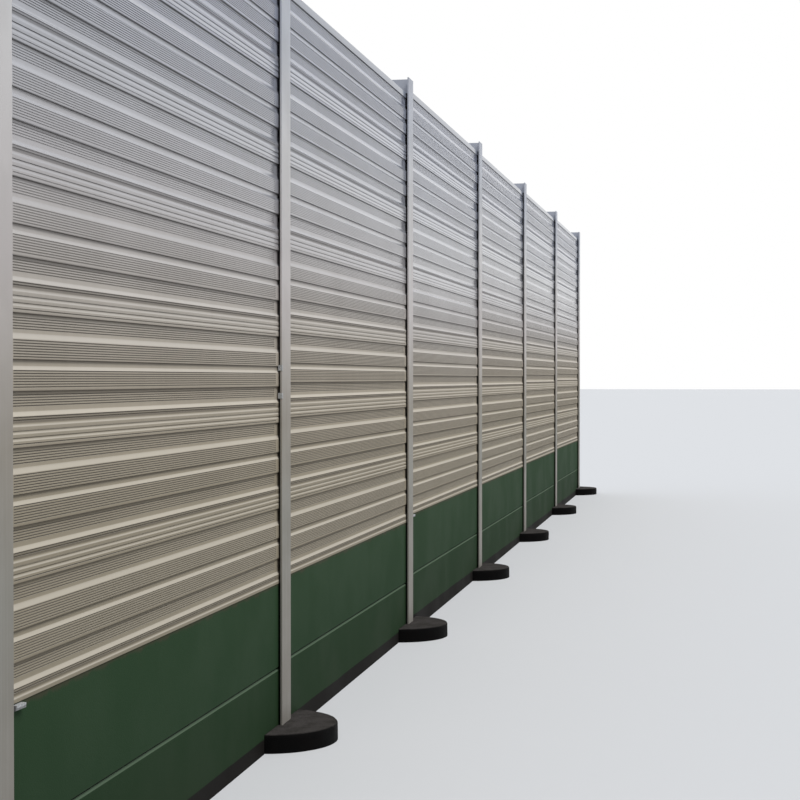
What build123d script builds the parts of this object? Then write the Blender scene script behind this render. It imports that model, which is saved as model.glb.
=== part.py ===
from build123d import *
import os

os.makedirs("parts", exist_ok=True)

# A line-side noise barrier of six bays: wide-flange steel posts standing in
# round pile caps, two green concrete plinth slabs a bay, and seven courses of
# ribbed aluminium cassettes slid down between the flanges of the posts.
# X runs along the barrier, its front face looks along -Y, and Z is up.
# The barrier climbs along +X, and each bay stands a small step above the last.
# Caps, posts and lower slabs all run down to the lowest level, that of the
# first post. The origin is the foot of the middle post, on that level.
# Every size is in millimetres.

# Bays, from the centre line of one post to the next
bay_count = 6
bay_pitch = 4000
bay_rise = 24

# One bay stands a little above the line of the others
raised_bay = 3
raised_by = 24

# Posts: a rolled wide-flange section, its web across the barrier
post_height = 4535
section_depth = 190
flange_width = 200
flange_thickness = 10
web_thickness = 6.5
root_radius = 18

# Pile caps, cast round the feet of the posts
cap_radius = 395
cap_height = 106
cap_edge = 5

# Every slab and cassette stops this far from the web of the post
panel_end_gap = 22

# Plinth slabs
lower_slab_height = 456
upper_slab_height = 514
slab_chamfer = 11
cap_notch_gap = 5

# Cassettes: the lip of each laps over what is below it, front and back
course_count = 7
cassette_depth = 146
lap_height = 16
lip_thickness = 3
lap_clearance = 0.5

# Ribs on a cassette's face. From the top down, each rib is a sharp step in,
# a floor, a slope out again, and then the flat front of the rib.
step_in = 2
narrow_floor = 2
narrow_slope = 10
narrow_depth = 3
first_rib_face = 12
second_rib_face = 24
upper_recess_floor = 69
upper_recess_slope = 25
upper_recess_depth = 9
upper_rib_face = 76
groove_floor = 20
groove_slope = 17
groove_depth = 8
middle_rib_face = 80
lower_recess_floor = 71
lower_recess_slope = 19
lower_recess_depth = 9
lower_rib_face = 25
lip_rib_face = 14

# Closing strip, a channel turned down over the top course
strip_leg = 45
strip_thickness = 3

# Rubber edge seals between the faces of the panels and the flanges
seal_width = 30
seal_web_gap = 42

# Steel wedges between a slab and the flanges, at the start of the first bay
# and of the third
wedge_bays = range(1, 4, 2)
wedge_seal_gap = 5
wedge_reach = 120
wedge_height = 18
wedge_drop = 5
wedge_tip = 10
wedge_butt = 22

# Bent clips round the edge of the second post's flange, at the end of the
# first bay
clip_levels = (2193, 2031)
clip_height = 32
clip_hook = 15
clip_thickness = 3

# Posts: place along the barrier, and how much higher each stands than the first
posts = [((i - bay_count / 2) * bay_pitch, i * bay_rise) for i in range(bay_count + 1)]

# Bays: start of the panels along the barrier, and the level they are stacked
# from, which is that of its first post or a little above it
panel_length = bay_pitch - web_thickness - 2 * panel_end_gap
bays = [
    (x + web_thickness / 2 + panel_end_gap, rise + (raised_by if number == raised_bay else 0))
    for number, (x, rise) in enumerate(posts[:-1], start=1)
]

# The ribs of a face from the top down: floor, slope, depth and flat front
narrow_ribs = [
    (narrow_floor, narrow_slope, narrow_depth, first_rib_face),
    (narrow_floor, narrow_slope, narrow_depth, second_rib_face),
]
main_ribs = [
    (upper_recess_floor, upper_recess_slope, upper_recess_depth, upper_rib_face),
    (groove_floor, groove_slope, groove_depth, middle_rib_face),
    (lower_recess_floor, lower_recess_slope, lower_recess_depth, lower_rib_face),
    (narrow_floor, narrow_slope, narrow_depth, lip_rib_face),
]


def ribs_height(ribs):
    """Height of a stack of ribs."""
    return sum(step_in + floor + slope + face for floor, slope, depth, face in ribs)


# Heights above the level that a bay is stacked from
course_height = ribs_height(narrow_ribs + main_ribs)
slab_top = lower_slab_height + upper_slab_height
first_lip = slab_top - lap_height
strip_seat = first_lip + (course_count - 1) * course_height + ribs_height(main_ribs) + strip_leg

# Half thicknesses across the barrier
half_cassette = cassette_depth / 2
half_rebate = half_cassette - lip_thickness - lap_clearance
slab_thickness = 2 * half_rebate
flange_inside = section_depth / 2 - flange_thickness


def save(builder, name):
    """Labels a finished piece and writes its STEP file."""
    builder.part.label = name
    export_step(builder.part, f"parts/{name}.step")


def post_section():
    """Draws the rolled section into the sketch that is open."""
    Rectangle(flange_width, section_depth)
    pocket_width = (flange_width - web_thickness) / 2
    with Locations(
        ((web_thickness + pocket_width) / 2, 0),
        (-(web_thickness + pocket_width) / 2, 0),
    ):
        Rectangle(pocket_width, 2 * flange_inside, mode=Mode.SUBTRACT)


def root_corners(sketch):
    """The four corners where the web meets the flanges."""
    return [v for v in sketch.vertices() if abs(v.X) < web_thickness]


def face_down(lip_level, ribs, cover):
    """Points down the front of a cassette, as distances from its middle plane."""
    level = lip_level + ribs_height(ribs)
    points = [(half_rebate, level + cover), (half_rebate, level)]
    for floor, slope, depth, face in ribs:
        level -= step_in
        points.append((half_cassette - depth, level))
        level -= floor
        points.append((half_cassette - depth, level))
        level -= slope
        points.append((half_cassette, level))
        level -= face
        points.append((half_cassette, level))
    lip_inside = half_cassette - lip_thickness
    points.append((lip_inside, level))
    points.append((lip_inside, level + lap_height))
    return points


def cassette_outline(lip_level, ribs, cover):
    """Closed outline of a cassette: its front, and the same face on its back."""
    half = face_down(lip_level, ribs, cover)
    front = [(-out, level) for out, level in half]
    back = [(out, level) for out, level in reversed(half)]
    return front + back


# Cross planes at the start of each bay, with their origins on the bay's level
bay_planes = [Plane((x, 0, level), x_dir=(0, 1, 0), z_dir=(1, 0, 0)) for x, level in bays]

# Posts
for number, (x, rise) in enumerate(posts, start=1):
    with BuildPart() as post:
        with BuildSketch(Plane((x, 0, 0))) as section:
            post_section()
            fillet(root_corners(section), root_radius)
        extrude(amount=rise + post_height)
    save(post, f"post_{number}")

# Pile caps, each with the pocket that its post fills
for number, (x, rise) in enumerate(posts, start=1):
    with BuildPart() as cap:
        with BuildSketch(Plane((x, 0, 0))):
            Circle(cap_radius)
        extrude(amount=rise + cap_height)
        chamfer(cap.edges().sort_by(Axis.Z)[-1], cap_edge)
        with BuildSketch(Plane((x, 0, 0))) as pocket:
            post_section()
            fillet(root_corners(pocket), root_radius)
        extrude(amount=rise + cap_height, mode=Mode.SUBTRACT)
    save(cap, f"pile_cap_{number}")

# Plinth slabs. The lower one stands on the pile caps at both ends, and runs
# down between them.
notch_length = cap_radius + cap_notch_gap - web_thickness / 2 - panel_end_gap
for number, (x, level) in enumerate(bays, start=1):
    with BuildPart() as lower_slab:
        with BuildSketch(Plane.YZ.offset(x)) as end:
            Rectangle(
                slab_thickness,
                level + lower_slab_height,
                align=(Align.CENTER, Align.MIN),
            )
            chamfer(end.vertices().group_by(Axis.Y)[-1], slab_chamfer)
        extrude(amount=panel_length)
        for notch_start, cap_rise in (
            (x, posts[number - 1][1]),
            (x + panel_length - notch_length, posts[number][1]),
        ):
            with Locations((notch_start, 0, 0)):
                Box(
                    notch_length,
                    slab_thickness,
                    cap_rise + cap_height,
                    align=(Align.MIN, Align.CENTER, Align.MIN),
                    mode=Mode.SUBTRACT,
                )
    save(lower_slab, f"plinth_lower_{number}")

    with BuildPart() as upper_slab:
        with BuildSketch(Plane.YZ.offset(x)) as end:
            with Locations((0, level + lower_slab_height)):
                Rectangle(slab_thickness, upper_slab_height, align=(Align.CENTER, Align.MIN))
            chamfer(end.vertices().group_by(Axis.Y)[0], slab_chamfer)
        extrude(amount=panel_length)
    save(upper_slab, f"plinth_upper_{number}")

# Cassette courses, from the plinth up, each with one cassette a bay
for course in range(1, course_count + 1):
    lip_level = first_lip + (course - 1) * course_height
    if course < course_count:
        outline = cassette_outline(lip_level, narrow_ribs + main_ribs, lap_height)
    else:
        outline = cassette_outline(lip_level, main_ribs, strip_leg)
    with BuildPart() as cassettes:
        with BuildSketch(*bay_planes):
            Polygon(*outline, align=None)
        extrude(amount=panel_length)
    save(cassettes, f"cassette_course_{course}")

# Closing strips, one a bay
with BuildPart() as closing_strips:
    with BuildSketch(*bay_planes):
        with Locations((0, strip_seat - strip_leg)):
            Rectangle(
                cassette_depth,
                strip_leg + strip_thickness,
                align=(Align.CENTER, Align.MIN),
            )
            Rectangle(
                cassette_depth - 2 * strip_thickness,
                strip_leg,
                align=(Align.CENTER, Align.MIN),
                mode=Mode.SUBTRACT,
            )
    extrude(amount=panel_length)
save(closing_strips, "closing_strips")

# Edge seals, on the front and back of both ends of every bay. Each one stands
# on the pile cap and reaches the top of the bay.
seal_offset = web_thickness / 2 + seal_web_gap + seal_width / 2
seal_thickness = flange_inside - half_cassette
seal_reach = half_cassette + seal_thickness / 2
for side, name in ((-1, "edge_seals_front"), (1, "edge_seals_back")):
    with BuildPart() as seals:
        for (start_post, rise), (end_post, end_rise), (x, level) in zip(posts, posts[1:], bays):
            for seal_place, cap_rise in (
                (start_post + seal_offset, rise),
                (end_post - seal_offset, end_rise),
            ):
                foot = cap_rise + cap_height
                with BuildSketch(Plane((seal_place, side * seal_reach, foot))):
                    Rectangle(seal_width, seal_thickness)
                extrude(amount=level + strip_seat - foot)
    save(seals, name)

# Slab wedges, driven in beside the seals and just under the lips of the
# lowest cassettes. Past the edge of the flange they are thicker.
wedge_foot = first_lip - wedge_drop - wedge_height
wedge_start = seal_offset + seal_width / 2 + wedge_seal_gap
wedge_end = flange_width / 2 + wedge_reach
with BuildPart() as slab_wedges:
    for x, level in [(posts[bay - 1][0], bays[bay - 1][1]) for bay in wedge_bays]:
        for side in (-1, 1):
            with BuildSketch(Plane((x, 0, level + wedge_foot))):
                Polygon(
                    (wedge_start, side * half_rebate),
                    (wedge_end, side * half_rebate),
                    (wedge_end, side * (half_rebate + wedge_butt)),
                    (flange_width / 2, side * flange_inside),
                    (wedge_start, side * (half_rebate + wedge_tip)),
                    align=None,
                )
            extrude(amount=wedge_height)
save(slab_wedges, "slab_wedges")

# Gap clips: each lies on the edge of the flange and hooks round its face
clip_out = section_depth / 2 + clip_thickness
flange_edge = posts[1][0] - flange_width / 2
clip_rise = posts[0][1]
with BuildPart() as gap_clips:
    for level in clip_levels:
        for side in (-1, 1):
            with BuildSketch(Plane((flange_edge, 0, clip_rise + level))):
                Polygon(
                    (0, side * half_cassette),
                    (0, side * section_depth / 2),
                    (clip_hook, side * section_depth / 2),
                    (clip_hook, side * clip_out),
                    (-clip_thickness, side * clip_out),
                    (-clip_thickness, side * half_cassette),
                    align=None,
                )
            extrude(amount=clip_height)
save(gap_clips, "gap_clips")
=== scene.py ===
# %% [markdown]
# # A line-side noise barrier
#
# The wall has six bays. Steel posts stand in round pile caps, and between each
# pair of posts lie two green concrete slabs and seven ribbed sheet cassettes,
# closed at the top by a folded strip.
#
# The CAD model is loaded first and fixes every size. Posts, slabs, seals and
# small steel fittings are finished where they are, with new materials. The
# cassettes, the closing strips and the pile caps are made again with more
# detail.

# %% Load the CAD model
import math

import bmesh
import bpy
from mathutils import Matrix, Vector, noise


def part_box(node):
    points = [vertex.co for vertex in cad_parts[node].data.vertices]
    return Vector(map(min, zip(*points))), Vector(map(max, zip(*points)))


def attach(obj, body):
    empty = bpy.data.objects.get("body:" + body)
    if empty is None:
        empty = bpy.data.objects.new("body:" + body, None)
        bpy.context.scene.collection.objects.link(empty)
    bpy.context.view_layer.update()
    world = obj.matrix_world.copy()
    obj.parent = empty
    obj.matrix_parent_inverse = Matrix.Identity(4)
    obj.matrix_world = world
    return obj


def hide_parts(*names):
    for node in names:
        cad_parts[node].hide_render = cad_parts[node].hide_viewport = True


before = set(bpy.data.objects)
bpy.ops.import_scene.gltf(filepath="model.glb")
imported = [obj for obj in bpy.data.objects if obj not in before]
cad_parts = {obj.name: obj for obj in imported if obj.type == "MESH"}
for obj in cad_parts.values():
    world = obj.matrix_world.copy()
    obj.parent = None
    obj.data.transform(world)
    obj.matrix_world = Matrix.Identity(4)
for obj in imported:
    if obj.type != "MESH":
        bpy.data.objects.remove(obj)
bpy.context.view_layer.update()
scene = bpy.context.scene
scene.view_settings.view_transform = "Standard"

# %% [markdown]
# ## The grid of the wall
#
# Everything repeats from post to post, so the places are read once from the
# CAD boxes. The wall climbs along its length: every bay stands one small step
# higher than the one before it. One bay is packed up a little more.

# %% Bays, steps and levels
bay_count = sum(name.startswith("post_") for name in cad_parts) - 1
post_low, post_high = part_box("post_1")
next_low, next_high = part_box("post_2")
first_post = (post_low.x + post_high.x) / 2
bay_pitch = next_low.x - post_low.x
bay_rise = next_high.z - post_high.z
panel_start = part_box("plinth_upper_1")[0].x
panel_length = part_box("plinth_upper_1")[1].x - panel_start
cap_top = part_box("pile_cap_1")[1].z
slope = bay_rise / bay_pitch
slab_tops = [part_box(f"plinth_upper_{n}")[1].z - (n - 1) * bay_rise for n in range(1, bay_count + 1)]
raised_by = max(slab_tops) - min(slab_tops)
raised_bay = slab_tops.index(max(slab_tops))
print(f"{bay_count} bays of {bay_pitch:.2f} m, each {bay_rise * 1000:.0f} mm up")
print(f"bay {raised_bay + 1} stands {raised_by * 1000:.0f} mm above that line")

# %% [markdown]
# ## Camera
#
# The view looks along the wall from beside the first bay, a little above eye
# height. The camera looks down by less than one degree, so the posts stay
# upright to the eye. Place, turn and lens were found together, by fitting the
# rows and posts of a wall whose spacing is known.

# %% Set the camera
turn = math.radians(10.889)
dip = math.radians(0.725)
camera_data = bpy.data.cameras.new("wall_camera")
camera_data.sensor_width = 36
camera_data.lens = 76.98
camera = bpy.data.objects.new("wall_camera", camera_data)
camera.location = (-17.726, -2.645, 2.148)
view_direction = Vector((math.cos(turn), math.sin(turn), -math.tan(dip)))
camera.rotation_euler = view_direction.to_track_quat("-Z", "Y").to_euler()
scene.collection.objects.link(camera)
scene.camera = camera
print("looking down by", round(math.degrees(dip), 2), "degrees")

# %% [markdown]
# ## Short names for node work
#
# A node tree is easier to read when one line makes one node. These helpers
# make a node, set its values and join its inputs, for shaders and for
# geometry alike. Colours are given as the hex numbers of a paint card and
# turned to the linear numbers that the renderer works with.

# %% Helpers for any node tree
def feed(tree, socket, value):
    """Joins value to the socket, or writes it there."""
    if isinstance(value, bpy.types.NodeSocket):
        tree.links.new(value, socket)
    else:
        socket.default_value = value


def node(tree, kind, inputs=None, **settings):
    """A new node. inputs is a dict of socket names or numbers to values."""
    made = tree.nodes.new(kind)
    for name, value in settings.items():
        setattr(made, name, value)
    for key, value in (inputs or {}).items():
        feed(tree, made.inputs[key], value)
    return made


def calc(tree, operation, *values):
    """One Math node."""
    return node(tree, "ShaderNodeMath", dict(enumerate(values)), operation=operation).outputs[0]


def between(tree, value, low, high, start=0.0, end=1.0, kind="SMOOTHSTEP"):
    """Value moved from the range low..high to start..end."""
    inputs = {0: value, 1: low, 2: high, 3: start, 4: end}
    return node(tree, "ShaderNodeMapRange", inputs, interpolation_type=kind).outputs[0]


print("helpers for any node tree ready")

# %% Helpers for colour
def paint(hex_colour):
    """Linear RGBA of a paint card's hex colour."""
    parts = [int(hex_colour[i:i + 2], 16) / 255 for i in (1, 3, 5)]
    return tuple(p / 12.92 if p <= 0.04045 else ((p + 0.055) / 1.055) ** 2.4 for p in parts) + (1,)


def ramp(tree, factor, stops):
    """A colour ramp with the given (position, colour) stops."""
    made = node(tree, "ShaderNodeValToRGB", {0: factor})
    band = made.color_ramp
    while len(band.elements) < len(stops):
        band.elements.new(1.0)
    for element, (position, colour) in zip(band.elements, stops):
        element.position, element.color = position, colour
    return made.outputs[0]


def mix(tree, factor, first, second):
    """Two colours mixed by a factor."""
    made = node(tree, "ShaderNodeMix", data_type="RGBA")
    for index, value in ((0, factor), (6, first), (7, second)):
        feed(tree, made.inputs[index], value)
    return made.outputs[2]


def tint(tree, colour, mask, strength, card):
    """The colour, mixed by the mask times strength towards a paint card's hex colour."""
    return mix(tree, calc(tree, "MULTIPLY", mask, strength), colour, paint(card))


print("mid grey of a paint card is", round(paint("#808080")[0], 3), "in linear light")

# %% Helpers for materials
def new_group(name, inputs, outputs):
    """An empty shader group with named float inputs and outputs."""
    tree = bpy.data.node_groups.new(name, "ShaderNodeTree")
    for label, value in inputs.items():
        socket = tree.interface.new_socket(label, in_out="INPUT", socket_type="NodeSocketFloat")
        socket.default_value = value
    for label in outputs:
        tree.interface.new_socket(label, in_out="OUTPUT", socket_type="NodeSocketFloat")
    return tree, node(tree, "NodeGroupInput").outputs, node(tree, "NodeGroupOutput").inputs


def place_group(tree, group, **inputs):
    """The outputs of a shader group placed in a tree."""
    made = node(tree, "ShaderNodeGroup", node_tree=group)
    for label, value in inputs.items():
        feed(tree, made.inputs[label], value)
    return made.outputs


def new_material(name):
    """A material with a Principled BSDF joined to its output."""
    material = bpy.data.materials.new(name)
    material.use_nodes = True
    return material, material.node_tree, material.node_tree.nodes["Principled BSDF"]


def bump(tree, shader, height, distance, strength):
    """A Bump node on the shader's normal. distance is in metres."""
    made = node(tree, "ShaderNodeBump", {"Height": height, "Distance": distance, "Strength": strength})
    tree.links.new(made.outputs[0], shader.inputs["Normal"])


print("helpers for materials ready")

# %% [markdown]
# ## Effects that several finishes share
#
# Weather doesn't know where one material ends, so its marks are node groups:
# built once and placed in each material with its own strength. The first tells
# where a point is on the wall. The others give soft patches, streaks left by
# running water, and a mask of what faces up or down. That mask puts dust and a
# painted highlight on faces that look up and painted shade on faces that look
# down, and tells the black side of a pile cap from its top.

# %% Group: place on the wall
wall_place, _, result = new_group("Place on wall", {}, ["Height", "Along", "Raised"])
spot = node(wall_place, "ShaderNodeTexCoord").outputs["Object"]
axes = node(wall_place, "ShaderNodeSeparateXYZ", {0: spot}).outputs
bays_along = calc(wall_place, "DIVIDE", calc(wall_place, "SUBTRACT", axes["X"], first_post), bay_pitch)
bay = calc(wall_place, "FLOOR", bays_along)
along = calc(wall_place, "MULTIPLY", calc(wall_place, "SUBTRACT", bays_along, bay), bay_pitch)
in_raised = calc(wall_place, "COMPARE", bay, raised_bay, 0.5)
climb = calc(wall_place, "MULTIPLY", bay, bay_rise)
level = calc(wall_place, "MULTIPLY_ADD", in_raised, raised_by, climb)
feed(wall_place, result["Height"], calc(wall_place, "SUBTRACT", axes["Z"], level))
feed(wall_place, result["Along"], along)
feed(wall_place, result["Raised"], in_raised)
print(wall_place.name, "gives", [socket.name for socket in result if socket.name])

# %% Group: soft patches
mottling, given, result = new_group("Mottling", {"Scale": 3.0, "Detail": 3.0}, ["Amount"])
spot = node(mottling, "ShaderNodeTexCoord").outputs["Object"]
patch = node(
    mottling,
    "ShaderNodeTexNoise",
    {"Vector": spot, "Scale": given["Scale"], "Detail": given["Detail"]},
)
feed(mottling, result["Amount"], between(mottling, patch.outputs[0], 0.35, 0.65))
print(mottling.name, "has", len(mottling.nodes), "nodes")

# %% Group: streaks
streaks, given, result = new_group("Streaks", {"Across": 25.0, "Down": 1.5}, ["Amount"])
spot = node(streaks, "ShaderNodeTexCoord").outputs["Object"]
axes = node(streaks, "ShaderNodeSeparateXYZ", {0: spot}).outputs
stretched = node(
    streaks,
    "ShaderNodeCombineXYZ",
    {
        0: calc(streaks, "MULTIPLY", axes["X"], given["Across"]),
        1: calc(streaks, "MULTIPLY", axes["Y"], given["Across"]),
        2: calc(streaks, "MULTIPLY", axes["Z"], given["Down"]),
    },
).outputs[0]
streak = node(streaks, "ShaderNodeTexNoise", {"Vector": stretched, "Scale": 1.0, "Detail": 3.0})
feed(streaks, result["Amount"], between(streaks, streak.outputs[0], 0.4, 0.7))
print(streaks.name, "has", len(streaks.nodes), "nodes")

# %% Group: which way a surface faces
facing, given, result = new_group("Facing up", {"From": 0.1, "To": 0.5}, ["Amount"])
normal = node(facing, "ShaderNodeNewGeometry").outputs["True Normal"]
upward = node(facing, "ShaderNodeSeparateXYZ", {0: normal}).outputs["Z"]
feed(facing, result["Amount"], between(facing, upward, given["From"], given["To"]))
print("groups:", [g.name for g in bpy.data.node_groups])

# %% [markdown]
# ## Coated sheet for the cassettes
#
# The cassettes are light grey coated aluminium. Their flat bands carry rows of
# fine perforation, which make them a shade darker than the plain bends and the
# plain ends. The rows themselves are shape, made further on, and the material
# adds only their darkening: painted shade in the rows, with dirt, stronger low
# on the wall. The colour runs from brown low on the wall to a cool blue grey at
# the top: partly dust low down, and partly painted light, a reflection of the
# ground below and of the sky above. Slopes that face up are lightened, partly
# as dust and partly as a painted highlight of the light from above. All of this
# follows height, so one colour ramp runs up the whole wall. Grime and painted
# shade follow the steps, so a second ramp starts again at the lip of every
# course.

# %% Heights and bands of a course
first_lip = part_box("cassette_course_1")[0].z
course_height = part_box("cassette_course_2")[0].z - first_lip
highest_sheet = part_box("closing_strips")[1].z - (bay_count - 1) * bay_rise
# Millimetres turned to metres, the scene's unit
millimetre = 0.001
# The plain ends of a cassette, in metres, and how deep its rows are, in millimetres
end_margin = 0.13
row_depth = 2.6
# Grime and painted shade darken the sheet under every step of a cassette and
# on the leaning front of its lower rib, which faces a little down. Stops of
# height above the lip of a course, in millimetres, and amount.
grime_and_shade_stops = [
    (0, 0.15), (5, 0.0), (26, 0.0), (28, 0.85), (38, 0.85), (42, 0.6), (50, 0.5), (53, 0.0), (126, 0.0),
    (136, 0.5), (154, 0.0), (248, 0.0), (258, 0.5), (270, 0.0), (422, 0.0), (432, 0.5), (442, 0.0),
    (468, 0.0), (472, 0.1), (475, 0.0), (494, 0.0), (498, 0.1), (500, 0.15),
]
print("sheet from", round(first_lip, 3), "to", round(highest_sheet, 3))

# %% Sheet tones
# From the foot of the lowest cassette, 0, to the top of the closing strip, 1.
# Brown low down is partly dust and partly a painted reflection of the ground,
# and the blue grey at the top is a painted reflection of the sky
sheet_dust_and_light_stops = [
    (0.0, paint("#8C8370")),
    (0.20, paint("#958B77")),
    (0.34, paint("#A89E8D")),
    (0.42, paint("#B1A99D")),
    (0.50, paint("#B3ADA8")),
    (0.60, paint("#ADAAAC")),
    (0.72, paint("#A8AAB1")),
    (0.85, paint("#A6AAB7")),
    (1.0, paint("#A5ABBC")),
]

# The raised bay is cleaner: its dust line lies this much lower
cleaner_by = 0.15
# Slopes that face up are mixed towards pale brown low down, partly dust and
# partly a painted highlight of the light from above, and towards grey higher up
dust_and_highlight_stops = [(0.3, paint("#D9D2C5")), (0.6, paint("#9799A0"))]


def row_mask(tree, place):
    """How deep a point lies in a fine row, from 0 to 1, and 0 on the plain ends."""
    start = panel_start - first_post + end_margin
    end = panel_start - first_post + panel_length - end_margin
    past_start = calc(tree, "GREATER_THAN", place["Along"], start)
    before_end = calc(tree, "LESS_THAN", place["Along"], end)
    sink = node(tree, "ShaderNodeAttribute", attribute_name="sink").outputs["Fac"]
    sunk = calc(tree, "DIVIDE", sink, row_depth * millimetre)
    return calc(tree, "MULTIPLY", calc(tree, "MULTIPLY", past_start, before_end), sunk)


def grime_and_shade_mask(tree, place):
    """Grime and painted shade under the steps of every course, from 0 to 1."""
    above_lip = calc(tree, "SUBTRACT", place["Height"], first_lip)
    in_course = calc(tree, "FRACT", calc(tree, "DIVIDE", above_lip, course_height))
    full = round(course_height / millimetre)
    return ramp(tree, in_course, [(height / full, (grey, grey, grey, 1)) for height, grey in grime_and_shade_stops])


print("tones of the sheet:", len(sheet_dust_and_light_stops), "and stops of grime:", len(grime_and_shade_stops))

# %% Sheet finish
def sheet_material(name, with_rows, duller):
    """Coated aluminium sheet.

    with_rows adds the painted shade and dirt of the rows and the grime and painted
    shade under the steps, and duller is how far the colour is mixed towards a dull
    blue grey.
    """
    material, tree, shader = new_material(name)
    place = place_group(tree, wall_place)
    height = calc(tree, "MULTIPLY_ADD", place["Raised"], cleaner_by, place["Height"])
    share = between(tree, height, first_lip, highest_sheet, kind="LINEAR")
    colour = mix(tree, duller, ramp(tree, share, sheet_dust_and_light_stops), paint("#6E7683"))
    tone = node(tree, "ShaderNodeAttribute", attribute_name="tone").outputs["Fac"]
    colour = tint(tree, colour, tone, 0.10, "#7E776D")
    patches = place_group(tree, mottling, Scale=1.1, Detail=4.0)["Amount"]
    colour = tint(tree, colour, patches, 0.07, "#6F675C")
    runs = place_group(tree, streaks, Across=18.0, Down=0.6)["Amount"]
    colour = tint(tree, colour, runs, 0.05, "#6A6257")
    grime_and_shade = 0.0
    if with_rows:
        # The floors of the rows get painted shade, with dirt, strongest low on the wall
        dirt_and_shade_in_rows = between(tree, share, 0.35, 0.6, start=0.75, end=0.1)
        colour = tint(tree, colour, row_mask(tree, place), dirt_and_shade_in_rows, "#3F3A33")
        # Grime and painted shade under the steps
        grime_and_shade = grime_and_shade_mask(tree, place)
        colour = tint(tree, colour, grime_and_shade, 0.5, "#3A3125")
    # Faces that look up: dust and a painted highlight, strongest low on the wall
    up = place_group(tree, facing, From=0.10, To=0.32)["Amount"]
    dust_and_highlight_strength = between(tree, share, 0.25, 0.6, start=0.35, end=0.5, kind="LINEAR")
    colour = mix(tree, calc(tree, "MULTIPLY", up, dust_and_highlight_strength), colour, ramp(tree, share, dust_and_highlight_stops))
    # Faces that look down get painted shade
    down = place_group(tree, facing, From=-0.3, To=-0.8)["Amount"]
    colour = tint(tree, colour, down, 0.7, "#3B352E")
    feed(tree, shader.inputs["Base Color"], colour)
    shader.inputs["Metallic"].default_value = 0.2
    # Dusty sheet is dull and clean sheet shines, but the grime and shade lines under
    # the steps and the faces that look down stay dull up to the top
    clean_dullness = between(tree, share, 0.33, 0.7, start=0.72, end=0.1)
    grime_and_shade_lines = calc(tree, "MULTIPLY", grime_and_shade, 0.6)
    dirty = calc(tree, "MAXIMUM", calc(tree, "MULTIPLY", down, 0.4), grime_and_shade_lines)
    dullness = between(tree, dirty, 0.0, 1.0, start=clean_dullness, end=0.9, kind="LINEAR")
    feed(tree, shader.inputs["Roughness"], calc(tree, "MULTIPLY_ADD", patches, 0.03, dullness))
    return material


cassette_sheet = sheet_material("cassette sheet", True, 0.0)
strip_sheet = sheet_material("closing strip sheet", False, 0.6)
print("sheet materials made")

# %% [markdown]
# ## Ribbed cassettes
#
# One cassette is a constant outline pulled along the bay: sharp undercut
# steps, recesses, and soft slopes back out to the front. The outline is worked
# out from a short table of ribs, the same on the front and the back. On the
# flat bands it has extra points for the fine rows, which carry how deep they
# are pressed in as an attribute named sink.

# %% Table of ribs
# Sizes are in millimetres here, and turned to metres when the outline is drawn
half_depth = 73
lip_thickness = 3
lap_clearance = 0.5
lap_height = 16
step_in = 2
# From the top down, each rib is a step in, a floor, a slope back out and a
# flat front, which ends in a rounded nose. Rows are given as the depth of the
# first one under the start of its band, and their count.
top_rib = dict(floor=2, slope=10, depth=2.5, front=12, nose=1.5)
second_rib = dict(floor=2, slope=10, depth=2.5, front=24, nose=4, front_rows=(10, 1))
upper_rib = dict(floor=69, slope=25, depth=9, front=76, nose=4, floor_rows=(15, 5), front_rows=(4.7, 7))
middle_rib = dict(floor=20, slope=17, depth=8, front=80, nose=6, front_rows=(2.8, 7))
lower_rib = dict(
    floor=71, slope=19, depth=9, front=25, nose=0, lean=2.5, floor_rows=(11, 5), front_rows=(4, 2)
)
lip_rib = dict(floor=2, slope=10, depth=2.5, front=14, nose=1)
narrow_ribs = [top_rib, second_rib]
main_ribs = [upper_rib, middle_rib, lower_rib, lip_rib]
# Share of the slope's run and of its rise: it starts gently and is steep past its middle
slope_shape = [(0.12, 0.04), (0.3, 0.18), (0.55, 0.46), (0.8, 0.78), (0.95, 0.97)]
# Fine rows: their pitch, and the height, depth and wall of one row
row_pitch = 10.15
row_height = 4.4
row_wall = 0.4


def ribs_height(ribs):
    """Height of a stack of ribs."""
    return sum(step_in + rib["floor"] + rib["slope"] + rib["front"] for rib in ribs)


def row_points(out, top, rows, lean=0.0):
    """Points of the rows on a flat band, as (out, up, sink)."""
    first, count = rows
    points = []
    for row in range(count):
        middle = first + row * row_pitch
        high, low = middle - row_height / 2, middle + row_height / 2
        for under, sink in ((high, 0), (high + row_wall, row_depth), (low - row_wall, row_depth), (low, 0)):
            points.append((out - lean * under, top - under, sink))
    return points


print("a course is", ribs_height(narrow_ribs + main_ribs), "mm high")

# %% Outline of a cassette
# A nose is rounded in a few short facets, and is flatter than a quarter circle
nose_facets = 3
nose_flatness = 0.6
# An extra point this far under each slope keeps the shading of the bend short
bend_run = 0.6


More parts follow.
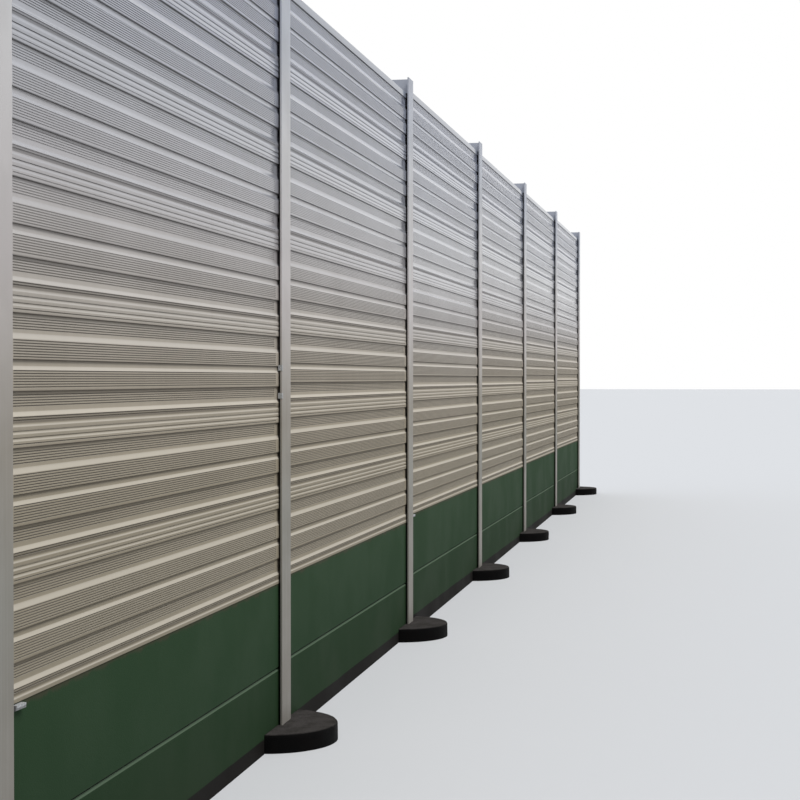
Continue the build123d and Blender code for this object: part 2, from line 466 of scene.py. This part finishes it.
def face_points(lip, ribs, cover):
    """Points (out, up, sink) down one face of a cassette, from its cover to its lip."""
    rebate = half_depth - lip_thickness - lap_clearance
    level = lip + ribs_height(ribs)
    points = [(rebate, level + cover, 0), (rebate, level, 0)]
    leaning = 0
    for rib in ribs:
        inside = half_depth - rib["depth"]
        level -= step_in
        if not leaning:
            points.append((inside, level, 0))
        points += row_points(inside, level, rib.get("floor_rows", (0, 0)))
        level -= rib["floor"]
        points.append((inside, level, 0))
        for run, share in slope_shape:
            points.append((half_depth - rib["depth"] * (1 - share), level - rib["slope"] * run, 0))
        level -= rib["slope"]
        points.append((half_depth, level, 0))
        leaning = rib.get("lean", 0)
        lean = leaning / rib["front"]
        points.append((half_depth - lean * bend_run, level - bend_run, 0))
        points += row_points(half_depth, level, rib.get("front_rows", (0, 0)), lean)
        level -= rib["front"]
        nose = rib["nose"]
        for facet in range(nose_facets + 1 if nose else 0):
            bend = math.radians(90 * facet / nose_facets)
            nose_in = nose * nose_flatness * (1 - math.cos(bend))
            points.append((half_depth - nose_in, level + nose * (1 - math.sin(bend)), 0))
        if leaning:
            points.append((half_depth - leaning, level, 0))
    points.append((half_depth - lip_thickness, level, 0))
    points.append((half_depth - lip_thickness, level + lap_height, 0))
    return points


def outline_mesh(name, half):
    """One flat face at the start of the first bay, from the points of one side."""
    around = [(-out, up, sink) for out, up, sink in half] + list(reversed(half))
    shape = bmesh.new()
    sink_layer = shape.verts.layers.float.new("sink")
    corners = []
    for out, up, sink in around:
        corner = shape.verts.new((panel_start, out * millimetre, up * millimetre))
        corner[sink_layer] = sink * millimetre
        corners.append(corner)
    face = shape.faces.new(corners)
    face.normal_update()
    if face.normal.x < 0:
        face.normal_flip()
    mesh = bpy.data.meshes.new(name)
    shape.to_mesh(mesh)
    shape.free()
    return mesh


print("points on one side:", len(face_points(0, narrow_ribs + main_ribs, lap_height)))

# %% [markdown]
# ## From outline to wall
#
# Geometry Nodes do here what the factory and the crane do: pull the outline to
# its length, press the rows in between two plain ends, repeat the cassette in
# every bay with its step up, and give each one a slightly different tone. The
# tree is built once, and every course sets its own values on it.

# %% Node tree: its inputs
bay_tree = bpy.data.node_groups.new("Sheet in every bay", "GeometryNodeTree")
for label, kind in (
    ("Outline", "NodeSocketGeometry"),
    ("Length", "NodeSocketFloat"),
    ("Plain end", "NodeSocketFloat"),
    ("Bays", "NodeSocketInt"),
    ("Pitch", "NodeSocketFloat"),
    ("Rise", "NodeSocketFloat"),
    ("Raised bay", "NodeSocketInt"),
    ("Raised by", "NodeSocketFloat"),
    ("Seed", "NodeSocketInt"),
    ("Material", "NodeSocketMaterial"),
):
    bay_tree.interface.new_socket(label, in_out="INPUT", socket_type=kind)
bay_tree.interface.new_socket("Sheet", in_out="OUTPUT", socket_type="NodeSocketGeometry")
given = node(bay_tree, "NodeGroupInput").outputs
print("inputs of the tree:", [s.name for s in bay_tree.interface.items_tree if s.in_out == "INPUT"])

# %% Node tree: pull and press
def pull(mesh, end_face, distance):
    """Pulls the end face along the bay. Gives the mesh and its new end face."""
    way = {"Offset": (1, 0, 0), "Offset Scale": distance, "Individual": False}
    pulled = node(bay_tree, "GeometryNodeExtrudeMesh", {"Mesh": mesh, "Selection": end_face, **way})
    return pulled.outputs["Mesh"], pulled.outputs["Top"]


def press(mesh, end_face, direction):
    """Moves the rows of the end face in, or back out where direction is -1."""
    place = node(bay_tree, "GeometryNodeInputPosition").outputs[0]
    side = calc(bay_tree, "SIGN", node(bay_tree, "ShaderNodeSeparateXYZ", {0: place}).outputs["Y"])
    sink = node(bay_tree, "GeometryNodeInputNamedAttribute", {"Name": "sink"}, data_type="FLOAT")
    outwards = calc(bay_tree, "MULTIPLY", side, sink.outputs["Attribute"])
    move = calc(bay_tree, "MULTIPLY", outwards, -direction)
    offset = node(bay_tree, "ShaderNodeCombineXYZ", {"Y": move}).outputs[0]
    inputs = {"Geometry": mesh, "Selection": end_face, "Offset": offset}
    return node(bay_tree, "GeometryNodeSetPosition", inputs).outputs[0]


# Length over which a row sinks in from the plain end, in metres
press_run = 0.003
print("a row sinks in over", round(press_run / millimetre), "mm")

# %% Node tree: one closed sheet
ends = calc(bay_tree, "MULTIPLY", given["Plain end"], 2.0)
middle = calc(bay_tree, "SUBTRACT", calc(bay_tree, "SUBTRACT", given["Length"], ends), 2 * press_run)
mesh, end_face = pull(given["Outline"], True, given["Plain end"])
mesh, end_face = pull(mesh, end_face, press_run)
mesh = press(mesh, end_face, 1)
mesh, end_face = pull(mesh, end_face, middle)
mesh, end_face = pull(mesh, end_face, press_run)
mesh = press(mesh, end_face, -1)
mesh, end_face = pull(mesh, end_face, given["Plain end"])
near_end = node(bay_tree, "GeometryNodeFlipFaces", {"Mesh": given["Outline"]}).outputs[0]
closed = node(bay_tree, "GeometryNodeJoinGeometry")
bay_tree.links.new(mesh, closed.inputs[0])
bay_tree.links.new(near_end, closed.inputs[0])
seam = {"Geometry": closed.outputs[0], "Distance": 0.01 * millimetre}
one_sheet = node(bay_tree, "GeometryNodeMergeByDistance", seam).outputs[0]
print("nodes for one sheet:", len(bay_tree.nodes))

# %% Node tree: a sheet in every bay
step = node(bay_tree, "ShaderNodeCombineXYZ", {"X": given["Pitch"], "Z": given["Rise"]}).outputs[0]
line = node(bay_tree, "GeometryNodeMeshLine", {"Count": given["Bays"], "Offset": step}, mode="OFFSET")
bay_number = node(bay_tree, "GeometryNodeInputIndex").outputs[0]
in_raised = calc(bay_tree, "COMPARE", bay_number, given["Raised bay"], 0.5)
packing = calc(bay_tree, "MULTIPLY", in_raised, given["Raised by"])
lift = node(bay_tree, "ShaderNodeCombineXYZ", {"Z": packing}).outputs[0]
starts = node(bay_tree, "GeometryNodeSetPosition", {"Geometry": line.outputs[0], "Offset": lift}).outputs[0]
sheets = node(bay_tree, "GeometryNodeInstanceOnPoints", {"Points": starts, "Instance": one_sheet})
tones = node(bay_tree, "FunctionNodeRandomValue", {"Seed": given["Seed"]}, data_type="FLOAT")
toned = node(
    bay_tree,
    "GeometryNodeStoreNamedAttribute",
    {"Geometry": sheets.outputs[0], "Name": "tone", "Value": tones.outputs[1]},
    data_type="FLOAT",
    domain="INSTANCE",
).outputs[0]
solid = node(bay_tree, "GeometryNodeRealizeInstances", {"Geometry": toned}).outputs[0]
finished = node(bay_tree, "GeometryNodeSetMaterial", {"Geometry": solid, "Material": given["Material"]})
bay_tree.links.new(finished.outputs[0], node(bay_tree, "NodeGroupOutput").inputs[0])
print("nodes in the tree:", len(bay_tree.nodes))

# %% [markdown]
# ## Run the tree and keep a plain mesh
#
# A modifier only shows its result. To keep it, the evaluated object is turned
# into an ordinary mesh and the modifier is removed. Bends are shaded smooth,
# and every edge sharper than 35 degrees stays crisp.

# %% Helpers for pieces
sharp_bend = math.radians(35)


def grown(name, mesh, tree, values):
    """A plain mesh object that a Geometry Nodes tree makes from a mesh."""
    seed_object = bpy.data.objects.new(name + "_seed", mesh)
    scene.collection.objects.link(seed_object)
    modifier = seed_object.modifiers.new("nodes", "NODES")
    modifier.node_group = tree
    sockets = {s.name: s.identifier for s in tree.interface.items_tree if s.in_out == "INPUT"}
    for label, value in values.items():
        modifier[sockets[label]] = value
    seen = seed_object.evaluated_get(bpy.context.evaluated_depsgraph_get())
    made = bpy.data.meshes.new_from_object(seen)
    made.name = name
    seed_object.modifiers.clear()
    bpy.data.objects.remove(seed_object)
    made.shade_smooth()
    made.set_sharp_from_angle(angle=sharp_bend)
    piece = bpy.data.objects.new(name, made)
    scene.collection.objects.link(piece)
    return piece


def settle(piece, slot, *nodes):
    """Makes a piece ride on the wall, in place of the CAD nodes it stands for."""
    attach(piece, "root")
    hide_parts(*nodes)
    piece.data.calc_loop_triangles()
    print(piece.name, len(piece.data.loop_triangles), "triangles")


bay_values = {
    "Length": panel_length,
    "Bays": bay_count,
    "Pitch": bay_pitch,
    "Rise": bay_rise,
    "Raised bay": raised_bay,
    "Raised by": raised_by,
}

# %% Make the seven courses
course_count = sum(name.startswith("cassette_course_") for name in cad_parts)
# The top course reaches this far up into the closing strip, in millimetres
strip_leg = 45
for course in range(1, course_count + 1):
    lip = (first_lip + (course - 1) * course_height) / millimetre
    if course < course_count:
        half = face_points(lip, narrow_ribs + main_ribs, lap_height)
    else:
        half = face_points(lip, main_ribs, strip_leg)
    values = {**bay_values, "Plain end": end_margin, "Seed": course, "Material": cassette_sheet}
    cassettes = grown(f"cassettes_{course}", outline_mesh(f"outline_{course}", half), bay_tree, values)
    settle(cassettes, "cassette_sheet", f"cassette_course_{course}")

# %% [markdown]
# ## Closing strips
#
# A folded channel caps each bay. It is bent from sheet, so its two top edges
# are round, and the edge at the foot of each leg is broken. The outline is
# short enough to write down, and the same tree repeats it in every bay.

# %% Fold the strips
strip_top = highest_sheet / millimetre
strip_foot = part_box("closing_strips")[0].z / millimetre
sheet_thickness = 3
bend_radius = 4
bend_facets = 4
broken_edge = 1
# The tree wants a plain end here too, in metres, though a strip has no rows
strip_margin = 0.02
strip_seed = 40
inner_side = half_depth - sheet_thickness
strip_half = [(inner_side, strip_top - sheet_thickness, 0), (inner_side, strip_foot, 0)]
strip_half += [(half_depth - broken_edge, strip_foot, 0), (half_depth, strip_foot + broken_edge, 0)]
for facet in range(bend_facets + 1):
    bend = math.radians(90 * facet / bend_facets)
    bend_in, bend_up = bend_radius * (1 - math.cos(bend)), bend_radius * (1 - math.sin(bend))
    strip_half.append((half_depth - bend_in, strip_top - bend_up, 0))
values = {**bay_values, "Plain end": strip_margin, "Seed": strip_seed, "Material": strip_sheet}
strips = grown("closing_strip_channels", outline_mesh("strip_outline", strip_half), bay_tree, values)
settle(strips, "closing_strip_sheet", "closing_strips")

# %% [markdown]
# ## Pile caps
#
# Each post stands in a round concrete cap, cast in a tube form: the side is
# smooth and black with sealing paint, and the top is worn and a little uneven.
# Rings of points turned round an axis give the drum. Noise then pulls its
# surface in by a few millimetres, never out, so that it keeps its size.

# %% Turn the drums
drum_facets = 96
# Share of the radius, and depth under the top in metres
drum_rings = [
    (1.0, 0.08), (1.0, 0.05), (1.0, 0.025), (0.998, 0.012), (0.992, 0.005), (0.982, 0.001), (0.965, 0.0),
    (0.93, 0.0), (0.86, 0.0), (0.77, 0.0), (0.66, 0.0), (0.54, 0.0), (0.42, 0.0), (0.28, 0.0), (0.14, 0.0),
]
# Wear: how far it goes in, in metres, and the scale of its noise
broad_wear, broad_scale = 0.004, 9
fine_wear, fine_scale = 0.002, 40
# The drum is worn down to this depth, and its foot keeps its shape
worn_depth = 0.1
centre_sink = 0.002
sharp_rim = math.radians(50)


def pile_cap(number):
    """A weathered concrete drum in the box of the CAD cap."""
    low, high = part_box(f"pile_cap_{number}")
    axis = Vector(((low.x + high.x) / 2, 0, 0))
    radius = (high.x - low.x) / 2
    shape = bmesh.new()
    rings = []
    for across, depth in [(1.0, high.z - low.z)] + drum_rings:
        ring = []
        for facet in range(drum_facets):
            angle = 2 * math.pi * facet / drum_facets
            out = Vector((math.cos(angle), math.sin(angle), 0))
            place = axis + out * radius * across + Vector((0, 0, high.z - depth))
            broad = abs(noise.noise(place * broad_scale)) * broad_wear
            fine = abs(noise.noise(place * fine_scale)) * fine_wear
            outwards = out if depth > 0 else Vector((0, 0, 1))
            ring.append(shape.verts.new(place - outwards * (broad + fine) * (depth < worn_depth)))
        rings.append(ring)
    for lower, upper in zip(rings, rings[1:]):
        for i in range(drum_facets):
            j = (i + 1) % drum_facets
            shape.faces.new((lower[i], lower[j], upper[j], upper[i]))
    centre = shape.verts.new(axis + Vector((0, 0, high.z - centre_sink)))
    for i in range(drum_facets):
        shape.faces.new((rings[-1][i], rings[-1][(i + 1) % drum_facets], centre))
    shape.faces.new(list(reversed(rings[0])))
    bmesh.ops.recalc_face_normals(shape, faces=shape.faces)
    mesh = bpy.data.meshes.new(f"cap_{number}")
    shape.to_mesh(mesh)
    shape.free()
    mesh.shade_smooth()
    mesh.set_sharp_from_angle(angle=sharp_rim)
    piece = bpy.data.objects.new(f"cap_{number}", mesh)
    scene.collection.objects.link(piece)
    return piece


print("points in a drum:", drum_facets * (len(drum_rings) + 1) + 1)

# %% [markdown]
# ## Concrete and rubber finishes
#
# The caps are dark worn concrete on top and black at the side, told apart by
# which way the surface faces. The slabs are green masonry paint over concrete:
# a flat colour broken by faint patches and rain runs, stained under the
# cassettes. Their upward chamfers are lightened, partly as dust and partly as a
# painted highlight, their downward chamfers carry painted shade, and their foot
# below the level of the cap tops is painted black as the shade in the gap under
# the slab. All of them are matt, so their specular level is low.

# %% Pile cap finish
cap_concrete, tree, shader = new_material("pile cap concrete")
top_side = place_group(tree, facing, From=0.5, To=0.85)["Amount"]
patches = place_group(tree, mottling, Scale=9.0, Detail=6.0)["Amount"]
grain = place_group(tree, mottling, Scale=160.0, Detail=2.0)["Amount"]
worn = mix(tree, patches, paint("#252321"), paint("#343130"))
worn = tint(tree, worn, grain, 0.25, "#524E49")
coated = mix(tree, patches, paint("#000000"), paint("#020101"))
feed(tree, shader.inputs["Base Color"], mix(tree, top_side, coated, worn))
feed(tree, shader.inputs["Roughness"], calc(tree, "MULTIPLY_ADD", top_side, 0.2, 0.7))
shader.inputs["Specular IOR Level"].default_value = 0.06
bump(tree, shader, calc(tree, "MULTIPLY_ADD", patches, 2.0, grain), 0.0015, 0.5)

for number in range(1, bay_count + 2):
    cap = pile_cap(number)
    cap.data.materials.append(cap_concrete)
    settle(cap, "pile_cap_concrete", f"pile_cap_{number}")

# %% Green slab finish
# Heights between which the green changes, in metres on the wall. The lower slab
# is a shade darker than the upper one.
green_from, green_to = 0.1, 0.97
green_stops = [
    (0.0, paint("#1D2E1B")),
    (0.40, paint("#20331F")),
    (0.42, paint("#253925")),
    (1.0, paint("#2B402A")),
]
green_concrete, tree, shader = new_material("green concrete paint")
place = place_group(tree, wall_place)
patches = place_group(tree, mottling, Scale=1.6, Detail=5.0)["Amount"]
grain = place_group(tree, mottling, Scale=140.0, Detail=2.0)["Amount"]
runs = place_group(tree, streaks, Across=9.0, Down=0.8)["Amount"]
share = between(tree, place["Height"], green_from, green_to, kind="LINEAR")
colour = tint(tree, ramp(tree, share, green_stops), patches, 0.15, "#233A26")
colour = tint(tree, colour, runs, 0.015, "#4E5646")
colour = tint(tree, colour, grain, 0.08, "#1E2A1B")
# The stain under the cassettes and the painted shade at the foot both end in a
# ragged line, so streaks or patches shift the height by some millimetres before
# it is compared
ragged_lip = calc(tree, "MULTIPLY_ADD", runs, 0.015, place["Height"])
under_lip = between(tree, ragged_lip, first_lip - 0.022, first_lip + 0.003)
colour = tint(tree, colour, under_lip, 0.6, "#463F33")
# The chamfers that look up are lightened: partly dust, partly a painted highlight
dust_and_highlight_on_tops = place_group(tree, facing, From=0.3, To=0.7)["Amount"]
colour = tint(tree, colour, dust_and_highlight_on_tops, 0.6, "#566553")
# Faces that look down, under the chamfers, get painted shade, nearly black
underside_shade = place_group(tree, facing, From=-0.3, To=-0.6)["Amount"]
colour = tint(tree, colour, underside_shade, 0.95, "#040604")
# Painted shade of the gap under the slab: black below the cap tops
shaded_foot_edge = calc(tree, "MULTIPLY_ADD", patches, -0.004, place["Height"])
foot = between(tree, shaded_foot_edge, cap_top + 0.003, cap_top - 0.006)
feed(tree, shader.inputs["Base Color"], mix(tree, foot, colour, paint("#100E0C")))
feed(tree, shader.inputs["Roughness"], calc(tree, "MULTIPLY_ADD", patches, 0.1, 0.7))
shader.inputs["Specular IOR Level"].default_value = 0.06
bump(tree, shader, calc(tree, "ADD", grain, patches), 0.0006, 0.35)
print("green from", green_from, "to", green_to, "m, black foot up to", round(cap_top, 3), "m")

# %% Seal finish
seal_rubber, tree, shader = new_material("seal rubber")
patches = place_group(tree, mottling, Scale=12.0, Detail=3.0)["Amount"]
feed(tree, shader.inputs["Base Color"], mix(tree, patches, paint("#262422"), paint("#322F2D")))
feed(tree, shader.inputs["Roughness"], calc(tree, "MULTIPLY_ADD", patches, 0.15, 0.6))
shader.inputs["Specular IOR Level"].default_value = 0.15
bump(tree, shader, patches, 0.0004, 0.3)
print("finish of the seals:", seal_rubber.name)

# %% [markdown]
# ## Steel finishes
#
# The posts are galvanised and coated grey. Their colour runs from a dark
# brownish grey low down to a pale blue grey at the top: partly dust and splashes
# low down, and partly painted light, shade near the ground and a reflection of
# the sky higher up. The small wedges and clips are bare zinc: a brighter metal
# with the patchy crystals that zinc shows, which a Voronoi texture draws well.
# On the wedges, painted shade darkens the end beside the seal and the lower part.

# %% Post finish
# Height up to which a post's colour changes, in metres on the wall
post_tones_to = 4.5
# A post's colour by height: dark low down, partly dust and partly painted shade, and pale blue grey at the
# top, a painted reflection of the sky
post_dust_and_light_stops = [
    (0.0, paint("#7A756D")),
    (0.08, paint("#807B73")),
    (0.30, paint("#86837A")),
    (0.42, paint("#918A7F")),
    (0.50, paint("#ABA49D")),
    (0.58, paint("#C0B9B6")),
    (0.77, paint("#CFCDCC")),
    (0.93, paint("#B8BBC2")),
    (1.0, paint("#B8BBC4")),
]
post_coating, tree, shader = new_material("post coating")
place = place_group(tree, wall_place)
share = between(tree, place["Height"], 0.0, post_tones_to, kind="LINEAR")
patches = place_group(tree, mottling, Scale=3.0, Detail=4.0)["Amount"]
runs = place_group(tree, streaks, Across=60.0, Down=0.8)["Amount"]
colour = tint(tree, ramp(tree, share, post_dust_and_light_stops), patches, 0.10, "#6F6B63")
colour = tint(tree, colour, runs, 0.10, "#B4B4AE")
feed(tree, shader.inputs["Base Color"], colour)
shader.inputs["Metallic"].default_value = 0.1
shader.inputs["Specular IOR Level"].default_value = 0.3
feed(tree, shader.inputs["Roughness"], calc(tree, "MULTIPLY_ADD", patches, 0.12, 0.48))
bump(tree, shader, patches, 0.0003, 0.2)
print("post tones:", len(post_dust_and_light_stops))

# %% Zinc finish
# Painted shade darkens the zinc beside the seal, in metres along the bay, and
# low on a wedge, in metres above its foot: from where it starts to where it is full
seal_shade = (0.155, 0.13)
wedge_foot_shade = (0.011, 0.006)
wedge_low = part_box("slab_wedges")[0].z
zinc, tree, shader = new_material("bare zinc")
spot = node(tree, "ShaderNodeTexCoord").outputs["Object"]
crystals = node(tree, "ShaderNodeTexVoronoi", {"Vector": spot, "Scale": 120.0}).outputs["Distance"]
shine = between(tree, crystals, 0.0, 0.8)
place = place_group(tree, wall_place)
beside_seal = between(tree, place["Along"], *seal_shade)
low_down = between(tree, place["Height"], *(wedge_low + height for height in wedge_foot_shade))
# Painted shade: dark beside the seal, in the gap by the flange, and on the lower part of a wedge
zinc_shade = calc(tree, "MAXIMUM", beside_seal, calc(tree, "MULTIPLY", low_down, 0.6))
colour = mix(tree, shine, paint("#BFC0C0"), paint("#9C9E9E"))
feed(tree, shader.inputs["Base Color"], mix(tree, zinc_shade, colour, paint("#1A1815")))
shader.inputs["Metallic"].default_value = 0.3
feed(tree, shader.inputs["Roughness"], calc(tree, "MULTIPLY_ADD", shine, 0.2, 0.35))
print("zinc is dirty up to", round(wedge_foot_shade[0] / millimetre), "mm above the foot of a wedge")

# %% Put the finishes on the CAD pieces
finish_of = {
    "post_": post_coating,
    "plinth_": green_concrete,
    "edge_seals": seal_rubber,
    "slab_wedges": zinc,
    "gap_clips": zinc,
}
for name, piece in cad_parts.items():
    for start, material in finish_of.items():
        if name.startswith(start):
            piece.data.materials.clear()
            piece.data.materials.append(material)
print("finished in place:", sum(name.startswith(tuple(finish_of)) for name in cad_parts))

# %% [markdown]
# ## Floor and light
#
# A plain pale floor lies under the wall, on the wall's own slope. Light comes
# from all round, from a soft dome, and from one very soft lamp high in front of
# the wall: steep light is what makes shallow ribs readable. Seen by the camera
# and in reflections the floor is pale, but it throws little light back, so the
# undersides of the ribs stay dark.

# %% Lay the floor
def seen_directly(tree):
    """1 for what the camera sees, also in a reflection or through glass, and 0 for light on its way."""
    rays = node(tree, "ShaderNodeLightPath").outputs
    indirectly = calc(tree, "MAXIMUM", rays["Is Glossy Ray"], rays["Is Transmission Ray"])
    return calc(tree, "MAXIMUM", rays["Is Camera Ray"], indirectly)


# From the middle of the floor to its edges, in metres
floor_reach = 160
floor_shown, floor_lit = (0.56, 0.56, 0.56, 1), (0.16, 0.15, 0.14, 1)
floor_mesh = bpy.data.meshes.new("floor")
corners = [(x * floor_reach, y * floor_reach) for x, y in ((-1, -1), (1, -1), (1, 1), (-1, 1))]
floor_mesh.from_pydata([(x, y, slope * (x - first_post)) for x, y in corners], [], [(0, 1, 2, 3)])
floor = bpy.data.objects.new("floor", floor_mesh)
scene.collection.objects.link(floor)
floor_paint, tree, shader = new_material("floor paint")
shader.inputs["Roughness"].default_value = 0.9
shader.inputs["Specular IOR Level"].default_value = 0.1
feed(tree, shader.inputs["Base Color"], mix(tree, seen_directly(tree), floor_lit, floor_shown))
floor.data.materials.append(floor_paint)
print("the floor rises by", round(slope / millimetre, 1), "mm in a metre")

# %% Light it
dome_shown, dome_light = (1, 1, 1, 1), (0.56, 0.6, 0.66, 1)
world = bpy.data.worlds.new("soft dome")
scene.world = world
world.use_nodes = True
tree = world.node_tree
tree.nodes.clear()
dome_colour = mix(tree, seen_directly(tree), dome_light, dome_shown)
dome = node(tree, "ShaderNodeBackground", {"Color": dome_colour, "Strength": 1.0})
world_out = node(tree, "ShaderNodeOutputWorld")
tree.links.new(dome.outputs[0], world_out.inputs[0])

lamp_data = bpy.data.lights.new("soft lamp", "SUN")
lamp_data.energy = 2.7
lamp_data.angle = math.radians(30)
lamp = bpy.data.objects.new("soft lamp", lamp_data)
lamp_from = Vector((-0.22, -0.48, 0.85))
lamp.rotation_euler = lamp_from.to_track_quat("Z", "Y").to_euler()
scene.collection.objects.link(lamp)
print("lamp", round(math.degrees(math.asin(lamp_from.normalized().z))), "degrees high")
